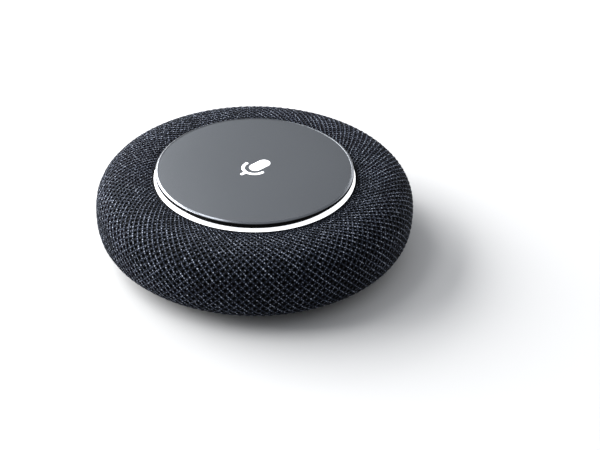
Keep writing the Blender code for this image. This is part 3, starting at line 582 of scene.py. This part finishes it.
def backingMaterial(name, dark, light, gauge):
    # a warp-knit backing dyed black: rows of tiny loops that drink the light; gauge is loops per metre
    material, tree, shader, place = startMaterial(name, {"Roughness": 0.95, "Specular IOR Level": 0.08})
    loops = addNode(tree, "TexVoronoi", {"Scale": gauge}, {"Vector": place})
    colour = addRamp(tree, loops.outputs["Distance"], [(0.05, light), (0.5, dark)])
    feed(shader, {"Base Color": colour})
    bump = addNode(tree, "Bump", {"Strength": 0.5, "Distance": 0.1 * mm, "invert": True},
                   {"Height": loops.outputs["Distance"]})
    feed(shader, {"Normal": bump.outputs["Normal"]})
    return material


yarnCloths = [knitMaterial("air_textured_polyester_pale", yarnColours[1]),
              knitMaterial("air_textured_polyester_dark", yarnColours[-1])]
for number, piece in enumerate(yarnPieces):
    piece.data.materials.append(yarnCloths[number // 2])
    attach(piece, "case")
cloth.data.materials.append(backingMaterial("dyed_warp_knit", "#020203", "#07080b", 2200.0))
hemCloth = backingMaterial("welded_hem_polyester", "#08090b", "#1b1e24", 1800.0)
for piece in (cloth, topHem, bottomHem):
    if piece is not cloth:
        piece.data.materials.append(hemCloth)
    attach(piece, "case")
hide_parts("fabric_cover")
print("cover made")


def mouldedMaterial(name, colours, grain, depth, roughness, constants=None):
    # moulded polymer from a spark-eroded tool: fine pits of one grain size in metres, dull on the crests and
    # a touch glossier in the pits, over a slow drift of tone
    material, tree, shader, place = startMaterial(name, {"IOR": 1.5, **(constants or {})})
    pits = addNode(tree, "TexNoise", {"Scale": 1 / grain, "Detail": 3.0, "Roughness": 0.55},
                   {"Vector": place})
    flow = addNode(tree, "TexNoise", {"Scale": 60.0, "Detail": 2.0}, {"Vector": place})
    blend = addNode(tree, "Math", {"operation": "MULTIPLY_ADD", 1: 0.35},
                    {0: pits.outputs["Fac"], 2: flow.outputs["Fac"]})
    colour = addRamp(tree, blend.outputs["Value"], [(0.45, colours[0]), (0.9, colours[1])])
    feed(shader, {"Base Color": colour})
    gloss = addNode(tree, "MapRange", {"From Min": 0.3, "From Max": 0.7, "To Min": roughness - 0.06,
                     "To Max": roughness + 0.06},
                    {"Value": pits.outputs["Fac"]})
    feed(shader, {"Roughness": gloss.outputs["Result"]})
    bump = addNode(tree, "Bump", {"Strength": 0.5, "Distance": depth}, {"Height": pits.outputs["Fac"]})
    feed(shader, {"Normal": bump.outputs["Normal"]})
    return material


# The pressed disc: a flat plate with a fine chamfer and a short skirt. Sizes in mm.
disc = {"chamferOut": 0.75, "chamferDown": 0.45, "wall": 1.2, "skirt": 1.2, "steps": 256, "edge": 0.06,
        "round": 0.22}
icon = {"capsuleRadius": 2.0, "capsuleLength": 7.6, "stroke": 1.0, "length": 11.9,
        "cradleRadius": 3.6, "cradleDrop": 0.4, "deep": 0.5, "proud": 0.015, "gap": 0.02}


def iconOutlines(spread):
    # a capsule in a round cradle on a short stem, the outline moved out by spread; sizes in mm
    def bow(radius, start, end, steps, centre):
        a = np.radians(np.linspace(start, end, steps))
        return np.stack([centre[0] + radius * np.cos(a), centre[1] + radius * np.sin(a)], axis=1)

    top = icon["length"] / 2 - icon["capsuleRadius"]
    low = top - (icon["capsuleLength"] - 2 * icon["capsuleRadius"])
    half = icon["stroke"] / 2 + spread
    pivot = (0.0, low - icon["cradleDrop"])
    outer = icon["cradleRadius"] + half
    stem = math.degrees(math.asin(half / outer))
    foot = (0.0, (icon["stroke"] - icon["length"]) / 2)
    capsule = np.concatenate([bow(icon["capsuleRadius"] + spread, 0, 180, 24, (0.0, top)),
                              bow(icon["capsuleRadius"] + spread, 180, 360, 24, (0.0, low))])
    cradle = np.concatenate([
        bow(icon["cradleRadius"] - half, 360, 180, 40, pivot),
        bow(half, 0, 180, 12, (-icon["cradleRadius"], pivot[1]))[1:-1],
        bow(outer, 180, 270 - stem, 20, pivot), bow(half, 180, 360, 12, foot),
        bow(outer, 270 + stem, 360, 20, pivot),
        bow(half, 0, 180, 12, (icon["cradleRadius"], pivot[1]))[1:-1]])
    return {"capsule": capsule * mm, "cradle": cradle * mm}


def makeDisc():
    # the plate is a profile carried round Z, with two pockets cut for the lenses
    low, high = boxOf("touch_disc")
    radius, top, bottom = high[0] / mm, high[2] / mm, low[2] / mm
    edge = disc["edge"]
    inner = radius - disc["skirt"]
    rim = rounded([(radius - disc["chamferOut"], top, disc["round"]),
                   (radius, top - disc["chamferDown"], disc["round"]), (radius, bottom, edge),
                   (inner, bottom, edge), (inner, top - disc["wall"], 0)], 7)
    centre = np.array([(0, top - disc["wall"]), (0, top), (radius * 0.4, top), (radius * 0.8, top)])
    plate = turned("touch_plate", np.concatenate([centre, rim]) * mm, disc["steps"],
                   sharpDegrees=50)
    pockets = [slab(f"{name}_pocket", outline, (top - icon["deep"]) * mm, (top + 1) * mm)
               for name, outline in iconOutlines(icon["gap"]).items()]
    carve(plate, pockets, 25)
    lenses = [slab(f"{name}_lens", outline, (top - icon["deep"]) * mm, (top + icon["proud"]) * mm)
              for name, outline in iconOutlines(0.0).items()]
    return plate, lenses


plate, lenses = makeDisc()


def anodisedMaterial(name, colours, roughness, blast):
    # bead-blasted aluminium, anodised: a fine matt sparkle under a clear dyed skin. blast is the width in
    # metres of one dimple
    material, tree, shader, place = startMaterial(name, {"Metallic": 1.0})
    dimples = addNode(tree, "TexNoise", {"Scale": 1 / blast, "Detail": 2.0}, {"Vector": place})
    colour = addRamp(tree, dimples.outputs["Fac"],
                     [(0.3, colours[0]), (0.55, colours[1]), (0.8, colours[2])])
    feed(shader, {"Base Color": colour})
    # handling leaves slow patches of slightly different gloss, about 15 mm across
    wear = addNode(tree, "TexNoise", {"Scale": 65.0, "Detail": 3.0}, {"Vector": place})
    gloss = addNode(tree, "MapRange", {"To Min": roughness - 0.03, "To Max": roughness + 0.04},
                    {"Value": wear.outputs["Fac"]})
    feed(shader, {"Roughness": gloss.outputs["Result"]})
    bump = addNode(tree, "Bump", {"Strength": 0.15, "Distance": 0.01 * mm},
                   {"Height": dimples.outputs["Fac"]})
    feed(shader, {"Normal": bump.outputs["Normal"]})
    return material


def litMaterial(name, glow, strength, haze):
    # opal acrylic lit from behind: white, even, with a trace of cloud where the diffuser grains lie
    material, tree, shader, place = startMaterial(name, {
        "Roughness": 0.35, "IOR": 1.49, "Base Color": toLinear("#f2f4f6"), "Emission Strength": strength})
    cloud = addNode(tree, "TexNoise", {"Scale": haze, "Detail": 2.0}, {"Vector": place})
    colour = addRamp(tree, cloud.outputs["Fac"], [(0.25, glow[0]), (0.75, glow[1])])
    feed(shader, {"Emission Color": colour})
    return material


plate.data.materials.append(anodisedMaterial("anodised_aluminium_grey", ("#585b5f", "#5f6266", "#696c71"),
                                             0.50, 0.12 * mm))
plate.data.materials.append(mouldedMaterial("black_dyed_skirt", ("#050506", "#0b0b0c"), 0.2 * mm, 0.01 * mm,
                                            0.7,
                                            {"Specular IOR Level": 0.1}))
plate.data.materials.append(anodisedMaterial("cut_and_anodised_edge", ("#6a6d72", "#73767b", "#7d8086"),
                                             0.24, 0.12 * mm))
discOuter, discTop = boxOf("touch_disc")[1][[0, 2]]
chamferStart = discOuter - (disc["chamferOut"] + 0.02) * mm
skirtTop = discTop - (disc["chamferDown"] + 0.04) * mm
paintFaces(plate, 2, lambda middle: np.hypot(middle[:, 0], middle[:, 1]) > chamferStart)
paintFaces(plate, 1, lambda middle: middle[:, 2] < skirtTop)
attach(plate, "disc")
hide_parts("touch_disc")
litIcon = litMaterial("opal_acrylic_inlay", ("#e9edf2", "#ffffff"), 0.9, 900.0)
for lens, node in zip(lenses, ("icon_capsule", "icon_cradle")):
    lens.data.materials.append(litIcon)
    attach(lens, "disc")
    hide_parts(node)

# The light ring: a plain opal annulus with softened edges. Sizes in mm.
lightRing = {"inner": 29.5, "tuck": 0.3, "edge": 0.25, "steps": 256}


def makeLightRing():
    # a rounded rectangle carried round Z
    low, high = boxOf("light_ring")
    outer, top, bottom = high[0] / mm - lightRing["tuck"], high[2] / mm, low[2] / mm
    inner = lightRing["inner"]
    edge = lightRing["edge"]
    profile = rounded([(inner, bottom, edge), (outer, bottom, edge), (outer, top, edge),
                       (inner, top, edge)], 5)
    piece = turned("opal_ring", profile * mm, lightRing["steps"], sharpDegrees=50)
    return piece


ring = makeLightRing()
ring.data.materials.append(litMaterial("opal_acrylic_ring", ("#eef3fa", "#ffffff"), 1.3, 300.0))
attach(ring, "case")
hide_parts("light_ring")
print("disc, icon and ring made")


# Foot, bottom cover and screws. Sizes in mm.
underside = {"footOuter": 30.0, "footInner": 25.0, "footHeight": 1.6, "gap": 0.3, "soft": 0.25,
             "coverBottom": 1.0, "coverTop": 3.0, "coverEdge": 31.7, "screwCircle": 20.0,
             "seatRadius": 2.1, "seatTop": 2.4, "boreRadius": 1.15, "grooves": (26.6, 28.4),
             "grooveTop": 0.3, "grooveFloor": 0.12, "grooveDeep": 0.22, "steps": 240}


def makeUnderside():
    # the foot and the cover are profiles carried round Z; the screw seats are cut out of the cover
    s = underside
    soft = s["soft"]
    foot = rounded([(s["footInner"], 0, 0.3), (s["footOuter"], 0, 0.3),
                    (s["footOuter"], s["footHeight"], soft),
                    (s["footInner"], s["footHeight"], soft)], 5)
    # two shallow grip grooves run round the sole
    sole = []
    for r in s["grooves"]:
        sole += [(r - s["grooveTop"], 0.0), (r - s["grooveFloor"], s["grooveDeep"]),
                 (r + s["grooveFloor"], s["grooveDeep"]), (r + s["grooveTop"], 0.0)]
    start = np.argmax((foot[:, 1] < 1e-9) & (foot[:, 0] < 26))
    while foot[start + 1, 1] < 1e-9 and foot[start + 1, 0] < 26:
        start += 1
    foot = np.concatenate([foot[:start + 1], np.array(sole), foot[start + 1:]])
    ringFoot = turned("foot_pad", foot * mm, s["steps"], sharpDegrees=40)
    roof = s["footHeight"] + s["gap"]
    cover = rounded([
        (s["footInner"] - s["gap"], s["coverBottom"], 0.2), (s["footInner"] - s["gap"], roof, 0),
        (s["footOuter"] + s["gap"], roof, 0), (s["footOuter"] + s["gap"], s["coverBottom"], 0.2),
        (s["coverEdge"], s["coverBottom"], 0.35), (s["coverEdge"], s["coverTop"], 0)], 5)
    middle = np.array([(0, s["coverTop"]), (0, s["coverBottom"]), (12, s["coverBottom"])])
    bottom = turned("bottom_cover", np.concatenate([middle, cover]) * mm, s["steps"], sharpDegrees=40)
    a = np.linspace(0, 2 * np.pi, 40, endpoint=False)
    circle = np.stack([np.cos(a), np.sin(a)], axis=1)
    cutters = []
    for number in range(4):
        turn = math.radians(45 + 90 * number)
        spot = np.array([math.cos(turn), math.sin(turn)]) * s["screwCircle"] * mm
        cutters.append(slab(f"seat_{number}", circle * s["seatRadius"] * mm + spot, 0, s["seatTop"] * mm))
        cutters.append(slab(f"bore_{number}", circle * s["boreRadius"] * mm + spot, 2 * mm, 4 * mm))
    carve(bottom, cutters, 40)
    return ringFoot, bottom


# Pan-head screws with a cross recess, head down. Sizes in mm.
screwForm = {"headRadius": 1.8, "headHeight": 0.8, "dome": 0.22, "shank": 0.85, "crossLong": 1.05,
             "crossWide": 0.28,
             "crossDeep": 0.5, "steps": 40}


def makeScrew(node, name):
    # a domed head and a shank carried round Z, with two crossed slots cut in the head
    low, high = boxOf(node)
    x, y = (low[:2] + high[:2]) / 2
    s = screwForm
    head, tip = low[2] / mm, high[2] / mm
    flat = head + s["headHeight"]
    r = np.linspace(0, s["headRadius"] - 0.12, 7)
    crown = np.stack([r, head + s["dome"] * (r / s["headRadius"]) ** 2], axis=1)
    rest = np.array([(s["headRadius"], head + s["dome"] + 0.14), (s["headRadius"], flat),
                     (s["shank"], flat), (s["shank"], tip - 0.4), (s["shank"] * 0.6, tip), (0, tip)])
    piece = turned(name, np.concatenate([crown, rest]) * mm, s["steps"], sharpDegrees=40)
    long, wide = s["crossLong"] * mm, s["crossWide"] * mm
    arms = [np.array([(-long, -wide), (long, -wide), (long, wide), (-long, wide)])]
    arms.append(arms[0][:, ::-1][::-1])
    carve(piece, [slab(f"{name}_arm_{i}", arm, (head - 1) * mm, (head + s["crossDeep"]) * mm)
                  for i, arm in enumerate(arms)], 40)
    points = np.empty(len(piece.data.vertices) * 3)
    piece.data.vertices.foreach_get("co", points)
    piece.data.vertices.foreach_set("co", (points.reshape(-1, 3) + [x, y, 0]).ravel())
    piece.data.update()
    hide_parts(node)
    return piece


# The bezel round the charging port, with a lip over the cloth's cut edge. Sizes in mm.
bezelForm = {"width": 15.4, "height": 9.4, "lip": 0.45, "lipThick": 0.5, "recessWidth": 13.0,
             "recessHeight": 7.0,
             "backWall": 45.2, "mouthWidth": 9.5, "mouthHeight": 3.9, "soft": 0.25, "steps": 28}


def makeBezel():
    # slot outlines placed one after another along Y and joined: face, lip, sides, back, then the recess
    low, high = boxOf("port_bezel")
    s = bezelForm
    face, back = high[1] / mm, low[1] / mm
    z = (low[2] + high[2]) / 2 / mm
    w, h = s["width"], s["height"]
    sections = [(s["mouthWidth"], s["mouthHeight"], back), (w, h, back),
                (w, h, face - s["lipThick"] - 0.35),
                (w + 2 * s["lip"], h + 2 * s["lip"], face - s["lipThick"] - 0.3),
                (w + 2 * s["lip"], h + 2 * s["lip"], face - s["soft"]),
                (w + 2 * s["lip"] - 0.15, h + 2 * s["lip"] - 0.15, face - 0.07),
                (w + 2 * s["lip"] - 0.5, h + 2 * s["lip"] - 0.5, face),
                (s["recessWidth"] + 0.5, s["recessHeight"] + 0.5, face),
                (s["recessWidth"] + 0.15, s["recessHeight"] + 0.15, face - 0.07),
                (s["recessWidth"], s["recessHeight"], face - s["soft"]),
                (s["recessWidth"], s["recessHeight"], s["backWall"]),
                (s["mouthWidth"], s["mouthHeight"], s["backWall"])]
    rows = []
    for width, height, y in sections:
        flat = stadium(width, height, s["steps"])
        rows.append(np.stack([flat[:, 0], np.full(len(flat), y), flat[:, 1] + z], axis=1))
    points = np.concatenate(rows) * mm
    piece = putMesh("port_surround", points, [gridFaces(len(sections), len(rows[0]), True, True)])
    tidyMesh(piece)
    return piece


foot, bottomCover = makeUnderside()
bezel = makeBezel()
screws = [makeScrew(f"base_screw_{i}", f"pan_screw_{i}") for i in range(1, 5)]


def metalMaterial(name, colours, roughness, scratches):
    # bare or plated metal: fine drawn or tumbled scratches, some of them running round the part
    material, tree, shader, place = startMaterial(name, {"Metallic": 1.0})
    squeeze = addNode(tree, "Mapping", {"Scale": scratches}, {"Vector": place})
    marks = addNode(tree, "TexNoise", {"Scale": 1.0, "Detail": 4.0}, {"Vector": squeeze.outputs["Vector"]})
    colour = addRamp(tree, marks.outputs["Fac"], [(0.3, colours[0]), (0.7, colours[1])])
    feed(shader, {"Base Color": colour})
    gloss = addNode(tree, "MapRange", {"To Min": roughness - 0.08, "To Max": roughness + 0.10},
                    {"Value": marks.outputs["Fac"]})
    feed(shader, {"Roughness": gloss.outputs["Result"]})
    bump = addNode(tree, "Bump", {"Strength": 0.2, "Distance": 0.01 * mm}, {"Height": marks.outputs["Fac"]})
    feed(shader, {"Normal": bump.outputs["Normal"]})
    return material


def ringedMaterial(name, colours, spacing, depth, roughness, metallic=0.0):
    # rings round Z at one spacing in metres: wound wire, pressed corrugations or rubber flow lines
    material, tree, shader, place = startMaterial(name, {"Metallic": metallic})
    rings = addNode(tree, "TexWave",
                    {"wave_type": "BANDS", "bands_direction": "Z", "Scale": 0.314 / spacing,
                                                "Distortion": 0.3, "Detail": 1.0}, {"Vector": place})
    speck = addNode(tree, "TexNoise", {"Scale": 2500.0, "Detail": 3.0}, {"Vector": place})
    both = addNode(tree, "Math", {"operation": "MULTIPLY_ADD", 1: 0.5},
                   {0: rings.outputs["Fac"], 2: speck.outputs["Fac"]})
    colour = addRamp(tree, both.outputs["Value"], [(0.35, colours[0]), (0.95, colours[1])])
    feed(shader, {"Base Color": colour})
    shader.inputs["Roughness"].default_value = roughness
    bump = addNode(tree, "Bump", {"Strength": 0.5, "Distance": depth}, {"Height": both.outputs["Value"]})
    feed(shader, {"Normal": bump.outputs["Normal"]})
    return material


def boardMaterial():
    # glass-epoxy laminate under dark green solder mask: copper shows through as paler lines 0.8 mm apart
    material, tree, shader, place = startMaterial("solder_masked_glass_epoxy",
                                                  {"Roughness": 0.28, "IOR": 1.55})
    tracks = addNode(tree, "TexBrick",
                     {"Scale": 400.0, "Color1": toLinear("#0e3a24"), "Color2": toLinear("#10452b"),
                                                  "Mortar": toLinear("#2c6b48"), "Mortar Size": 0.035,
                                                  "offset": 0.37}, {"Vector": place})
    feed(shader, {"Base Color": tracks.outputs["Color"]})
    bump = addNode(tree, "Bump", {"Strength": 0.3, "Distance": 0.03 * mm},
                   {"Height": tracks.outputs["Fac"]})
    feed(shader, {"Normal": bump.outputs["Normal"]})
    return material


def pulpMaterial():
    # pressed paper pulp: short fibres lie every way in a matt charcoal sheet
    material, tree, shader, place = startMaterial("pressed_paper_pulp",
                                           {"Roughness": 0.85, "Specular IOR Level": 0.25})
    fibres = addNode(tree, "TexNoise", {"Scale": 900.0, "Detail": 6.0, "Roughness": 0.7, "Distortion": 2.0},
                     {"Vector": place})
    colour = addRamp(tree, fibres.outputs["Fac"], [(0.35, "#17181a"), (0.55, "#26272a"), (0.75, "#3d3e41")])
    feed(shader, {"Base Color": colour})
    bump = addNode(tree, "Bump", {"Strength": 0.5, "Distance": 0.05 * mm},
                   {"Height": fibres.outputs["Fac"]})
    feed(shader, {"Normal": bump.outputs["Normal"]})
    return material


# glass-filled nylon and ABS mouldings stay nearly black, with a dull spark-eroded grain 0.25 mm across
blackMoulding = mouldedMaterial("spark_eroded_black_abs", ("#0b0c0e", "#17181b"), 0.25 * mm, 0.03 * mm, 0.5)
# the hidden frame parts come from a plainer tool, smoother and a shade greyer
frameMoulding = mouldedMaterial("moulded_glass_filled_nylon", ("#101113", "#212327"), 0.5 * mm, 0.02 * mm,
                                0.42)
# the base is textured coarser, to hide scuffs from the table
baseMoulding = mouldedMaterial("coarse_textured_base_abs", ("#101114", "#1f2125"), 0.45 * mm, 0.06 * mm,
                               0.55)
# compression-moulded silicone: soft, dusty and faintly see-through at the edges, so it never goes quite black
footRubber = mouldedMaterial("moulded_silicone_rubber", ("#1a1b1e", "#2b2d31"), 0.18 * mm, 0.015 * mm, 0.62,
                             {"Sheen Weight": 0.15, "IOR": 1.41})
# butyl rubber of the surround: smooth, bending light along its roll
rollRubber = mouldedMaterial("butyl_rubber_roll", ("#0d0d0e", "#1b1b1d"), 0.3 * mm, 0.01 * mm, 0.45)
# natural nylon connector bodies
whiteMoulding = mouldedMaterial("natural_nylon", ("#d9d6cc", "#ece9e0"), 0.4 * mm, 0.01 * mm, 0.4)
# epoxy transfer-moulded over the chips: matt, with a fine sandy skin
chipEpoxy = mouldedMaterial("transfer_moulded_epoxy", ("#131315", "#242427"), 0.08 * mm, 0.01 * mm, 0.6)
# pressed and fired ferrite: dark grey ceramic with a metallic grit
firedFerrite = mouldedMaterial("pressed_fired_ferrite", ("#1f2023", "#3a3b3f"), 0.12 * mm, 0.02 * mm, 0.48)
# lamps' yellow phosphor under clear silicone
lampPhosphor = mouldedMaterial("phosphor_filled_silicone", ("#d8c04a", "#f1e08a"), 0.1 * mm, 0.005 * mm,
                               0.25)
# zinc plate over stamped steel: pale, slightly blue, with tumbling marks
zincSteel = metalMaterial("zinc_plated_steel", ("#9ea3a8", "#c6cacd"), 0.32, (900.0, 900.0, 2500.0))
# blackened machine screws under the base
blackSteel = metalMaterial("black_oxide_steel", ("#1c1c1e", "#37373a"), 0.36, (1800.0, 1800.0, 900.0))
# nickel over sintered magnet
nickelPlate = metalMaterial("nickel_plated_magnet", ("#a9a59b", "#cdc9bf"), 0.22, (500.0, 500.0, 3000.0))
# tin-plated sheet of the shield can and connector shell: brushed one way by the rolling
rolledTin = metalMaterial("rolled_tin_plate", ("#b0b2b3", "#d6d7d8"), 0.28, (300.0, 6000.0, 300.0))
# drawn aluminium of the capacitor's can
drawnAluminium = metalMaterial("drawn_aluminium", ("#b8bbbe", "#dcdee0"), 0.3, (300.0, 300.0, 5000.0))
# lacquered copper wire wound 0.2 mm apart
woundCopper = ringedMaterial("wound_enamelled_copper", ("#7a2f10", "#c9662f"), 0.2 * mm, 0.05 * mm, 0.3,
                             1.0)
# phenolic-dipped cotton, pressed in rings: tan, dry, with the weave's specks
dippedCotton = ringedMaterial("phenolic_dipped_cotton", ("#8a6a35", "#c7a564"), 0.6 * mm, 0.06 * mm, 0.8)
solderMask = boardMaterial()
paperPulp = pulpMaterial()

finishes = [
    (frameMoulding, ["grille_shell", "lower_housing", "top_chassis", "sound_deflector", "driver_basket",
                     "surround_clamp"]),
    (blackMoulding, ["light_baffle", "disc_carrier", "switch_body_1", "switch_body_2", "switch_body_3",
                     "usb_tongue"]),
    (whiteMoulding, ["driver_connector", "switch_plunger_1", "switch_plunger_2", "switch_plunger_3"]),
    (chipEpoxy, ["amplifier_chip", "memory_chip", "radio_module"]),
    (firedFerrite, ["power_inductor"]),
    (lampPhosphor, [f"led_{i}" for i in range(1, 7)] + ["icon_led"]),
    (zincSteel, ["driver_yoke", "pole_plate"] + [f"driver_screw_{i}" for i in range(1, 5)]),
    (nickelPlate, ["driver_magnet"]),
    (rolledTin, ["usb_receptacle", "processor_shield", "microphone_1", "microphone_2", "microphone_3"]),
    (drawnAluminium, ["capacitor"]),
    (woundCopper, ["voice_coil"]),
    (paperPulp, ["driver_cone", "dust_cap"]),
    (solderMask, ["main_board", "light_board", "port_board"]),
]
for material, names in finishes:
    give(names, material)

# The roll and the spider lie between the basket, which stands still, and the cone.
softRings = {"surround_roll": {"node": "cone_surround", "finish": rollRubber, "slot": "surround_rubber"},
             "spider_disc": {"node": "cone_spider", "finish": dippedCotton, "slot": "spider_cloth"}}


def makeSoftRing(name, ring):
    # a merged copy of the CAD ring. Its points are laid out along X by their radius, the object's transform
    # is baked into the mesh, and then they go back to their places
    piece = bpy.data.objects.new(name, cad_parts[ring["node"]].data.copy())
    bpy.context.scene.collection.objects.link(piece)
    tidyMesh(piece, 50)
    count = len(piece.data.vertices)
    place = np.empty(count * 3)
    piece.data.vertices.foreach_get("co", place)
    place = place.reshape(-1, 3)
    radius = np.hypot(place[:, 0], place[:, 1])
    piece.data.vertices.foreach_set("co", np.stack([radius, 0 * radius, 0 * radius], axis=1).ravel())
    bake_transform(piece)
    piece.data.vertices.foreach_set("co", place.ravel())
    piece.data.update()
    piece.data.materials.clear()
    piece.data.materials.append(ring["finish"])
    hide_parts(ring["node"])


for name, ringForm in softRings.items():
    makeSoftRing(name, ringForm)

foot.data.materials.append(footRubber)
bottomCover.data.materials.append(baseMoulding)
bezel.data.materials.append(blackMoulding)
for piece, node, slot in ((foot, "foot_ring", "black_silicone"),
                          (bottomCover, "base_cover", "base_polymer"),
                          (bezel, "port_bezel", "black_polymer")):
    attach(piece, "case")
    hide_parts(node)
for piece in screws:
    piece.data.materials.append(blackSteel)
    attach(piece, "case")
print("base, port and finishes made")
